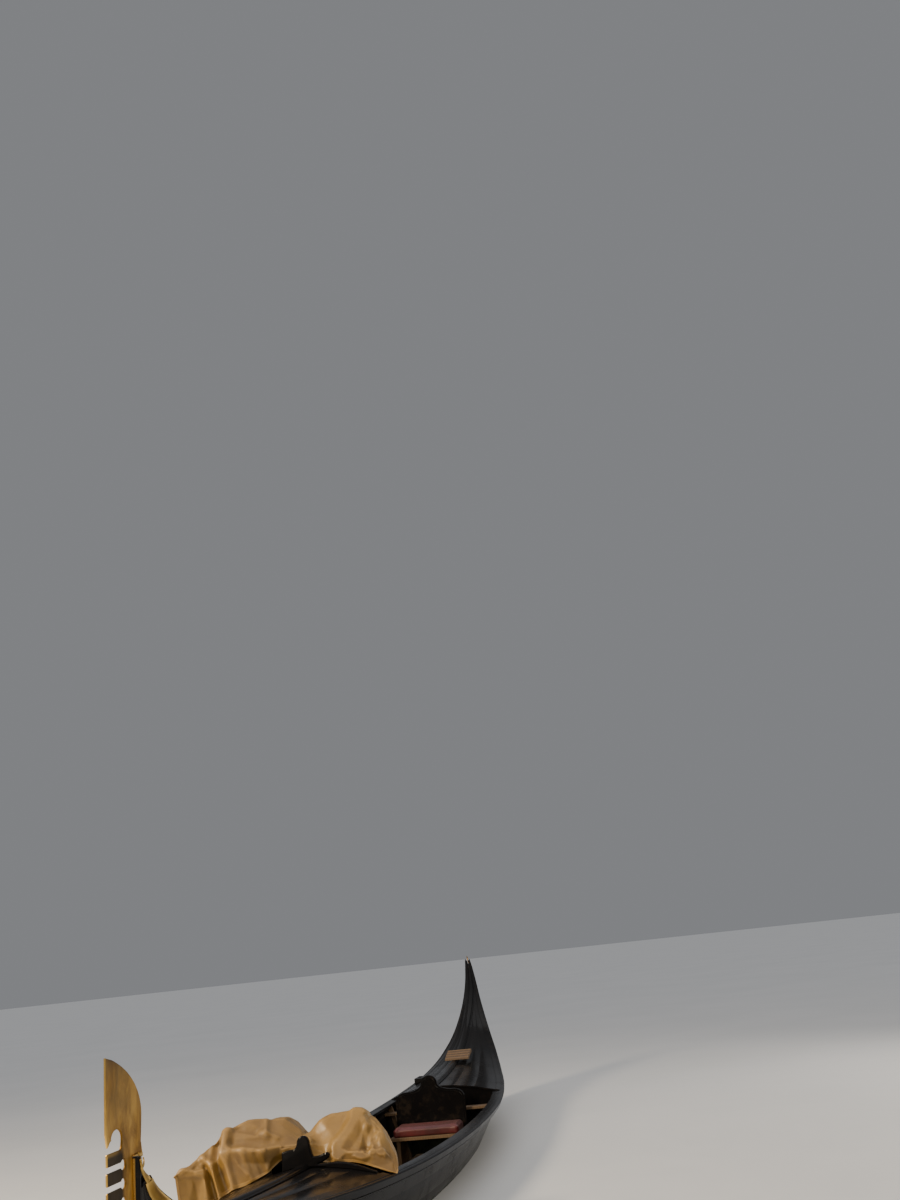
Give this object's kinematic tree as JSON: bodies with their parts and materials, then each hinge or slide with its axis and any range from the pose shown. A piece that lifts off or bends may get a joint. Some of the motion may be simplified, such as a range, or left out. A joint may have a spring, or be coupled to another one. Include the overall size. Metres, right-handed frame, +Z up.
{
  "type": "gondola",
  "caption": "Flat-bottomed rowing gondola with a comb-toothed bow iron, a high curved stern, decked ends with hinged locker doors, and a canvas cover thrown over its forward chairs.",
  "frame": {"origin": "on the waterline amidships, under the middle of the straight line through the two ends", "axes": "+X towards the bow, +Y to port, +Z up"},
  "size_m": [10.8957, 1.7743, 2.1167],
  "materials": {
    "hull_black": "black gloss lacquer",
    "inner_wood": "oiled, worn",
    "bright_metal": "brushed and polished",
    "brass": "polished",
    "seat_leather": "satin",
    "cover_canvas": "coated canvas"
  },
  "bodies": {
    "boat": {"port_bow_planking": "hull_black", "port_fore_waist_planking": "hull_black", "port_aft_waist_planking": "hull_black", "port_quarter_planking": "hull_black", "port_stern_planking": "hull_black", "starboard_bow_planking": "hull_black", "starboard_fore_waist_planking": "hull_black", "starboard_aft_waist_planking": "hull_black", "starboard_quarter_planking": "hull_black", "starboard_stern_planking": "hull_black", "bow_bottom": "hull_black", "fore_waist_bottom": "hull_black", "aft_waist_bottom": "hull_black", "stern_bottom": "hull_black", "stem_post": "hull_black", "stern_post": "hull_black", "port_wale": "hull_black", "starboard_wale": "hull_black", "foredeck": "hull_black", "aft_deck": "hull_black", "foredeck_ridge": "hull_black", "aft_deck_ridge": "hull_black", "foredeck_crest": "hull_black", "frame_1": "inner_wood", "frame_2": "inner_wood", "frame_3": "inner_wood", "frame_4": "inner_wood", "frame_5": "inner_wood", "frame_6": "inner_wood", "frame_7": "inner_wood", "frame_8": "inner_wood", "floorboards": "inner_wood", "port_coaming": "hull_black", "starboard_coaming": "hull_black", "fore_thwart": "inner_wood", "aft_thwart": "inner_wood", "bow_locker_bulkhead": "hull_black", "bow_locker_hinge": "brass", "stern_locker_bulkhead": "hull_black", "stern_locker_hinge": "brass", "seat_bench": "inner_wood", "seat_back": "hull_black", "seat_cushion": "seat_leather", "port_chair": "hull_black", "starboard_chair": "hull_black", "bow_iron": "bright_metal", "bow_ridge_strap": "bright_metal", "stern_iron": "bright_metal", "oarlock_block": "hull_black", "foot_rest": "inner_wood", "cockpit_cover": "cover_canvas"},
    "bow_locker_door": {"bow_locker_door": "hull_black", "bow_locker_knob": "brass"},
    "stern_locker_door": {"stern_locker_door": "hull_black", "stern_locker_knob": "brass"}
  },
  "joints": [
    {"name": "bow_locker_hinge", "type": "hinge", "parent": "boat", "child": "bow_locker_door", "pos_m": [2.448, 0.22, 0.2], "axis": [0, 0, -1], "range_deg": [0, 100]},
    {"name": "stern_locker_hinge", "type": "hinge", "parent": "boat", "child": "stern_locker_door", "pos_m": [-2.048, 0.22, 0.2], "axis": [0, 0, 1], "range_deg": [0, 100]}
  ]
}
